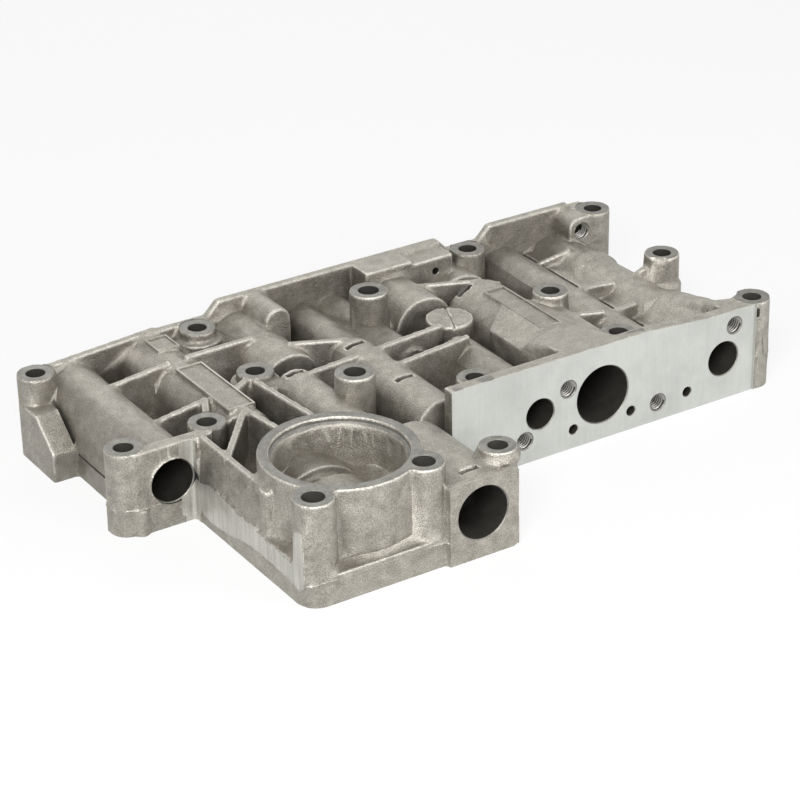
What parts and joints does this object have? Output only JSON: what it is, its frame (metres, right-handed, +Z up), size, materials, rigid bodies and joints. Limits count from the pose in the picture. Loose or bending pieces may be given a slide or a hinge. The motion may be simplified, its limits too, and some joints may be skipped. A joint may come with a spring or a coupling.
{
  "type": "transmission valve body",
  "caption": "One-piece die-cast half of an automatic transmission valve body: valve bores under cast tubes, ribbed pockets, bolt bosses and milled faces.",
  "frame": {"origin": "axis of the near corner bolt hole, on the mating face", "axes": "+X along the milled side face, +Y into the casting, +Z up from the mating face"},
  "size_m": [0.2434, 0.1517, 0.0352],
  "materials": {
    "cast_aluminium": "as cast, with milled mating and side faces"
  },
  "bodies": {
    "root": {"valve_body": "cast_aluminium"}
  },
  "joints": []
}
